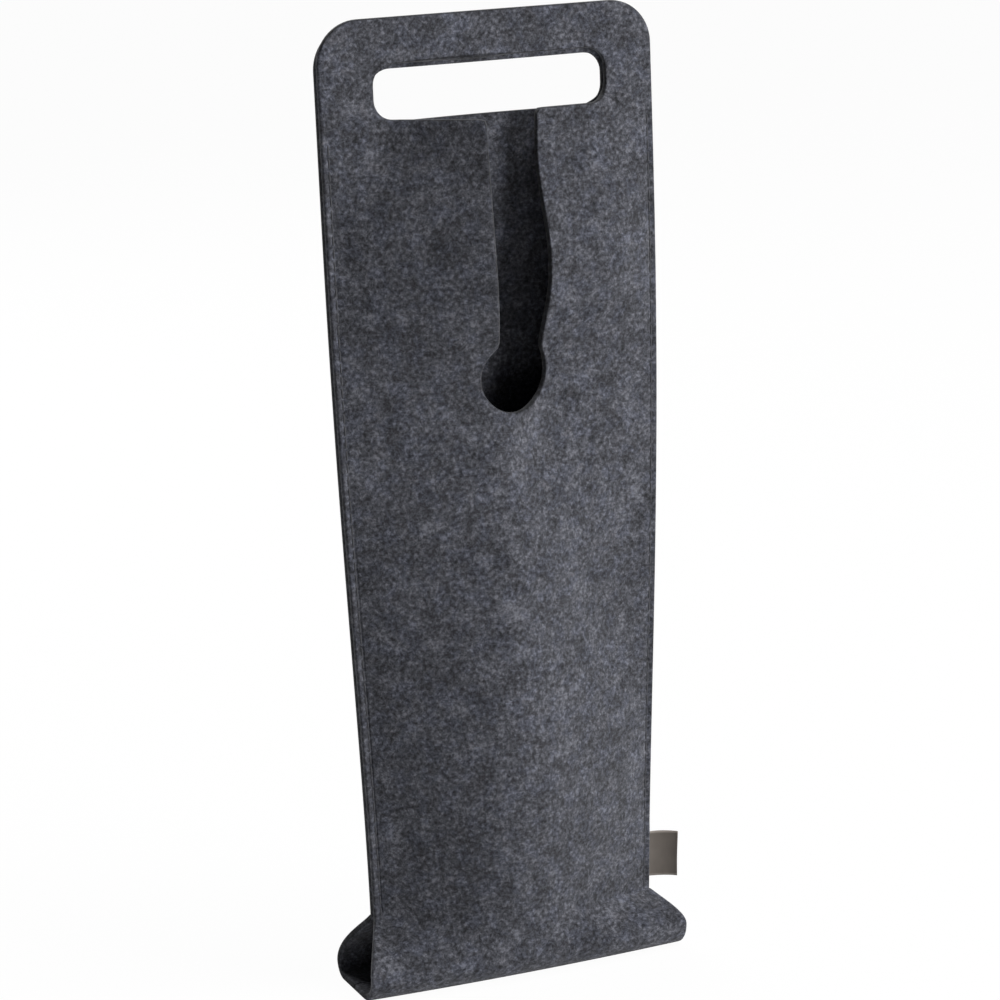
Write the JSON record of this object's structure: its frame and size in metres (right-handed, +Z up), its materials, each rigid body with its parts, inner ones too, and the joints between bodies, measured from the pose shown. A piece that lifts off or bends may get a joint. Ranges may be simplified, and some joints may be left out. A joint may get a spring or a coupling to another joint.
{
  "type": "bottle carrier",
  "caption": "Felt carrier for one bottle: a folded felt strip with sewn sides, a hand hole in both layers, a keyhole slit in the front and a small ribbon label.",
  "frame": {"origin": "middle of the base's underside, where the carrier stands", "axes": "+Z up, +X to the right seen from the front, +Y from the front with the slit to the back"},
  "size_m": [0.1443, 0.062, 0.392],
  "materials": {
    "felt": "dark grey mottled pressed felt",
    "thread": "twisted sewing thread",
    "ribbon": "woven satin ribbon"
  },
  "bodies": {
    "sleeve": {"front_panel": "felt", "back_panel": "felt", "base_panel": "felt", "left_seam_upper_thread": "thread", "left_seam_lower_thread": "thread", "right_seam_upper_thread": "thread", "right_seam_lower_thread": "thread", "label_tails": "ribbon"},
    "front_flap": {"front_handle": "felt"},
    "back_flap": {"back_handle": "felt"},
    "label": {"side_label": "ribbon"}
  },
  "joints": [
    {"name": "front_handle_bend", "type": "hinge", "parent": "sleeve", "child": "front_flap", "pos_m": [0, -0.0033, 0.3607], "axis": [1, 0, 0], "range_deg": [0, 75], "stiffness_Nm_per_rad": 0.02},
    {"name": "back_handle_bend", "type": "hinge", "parent": "sleeve", "child": "back_flap", "pos_m": [0, 0.0033, 0.3587], "axis": [-1, 0, 0], "range_deg": [0, 75], "stiffness_Nm_per_rad": 0.02},
    {"name": "label_bend", "type": "hinge", "parent": "sleeve", "child": "label", "pos_m": [0.06169, 0, 0.0363], "axis": [0.0261, 0, 0.9997], "range_deg": [-75, 75], "stiffness_Nm_per_rad": 0.0002}
  ]
}
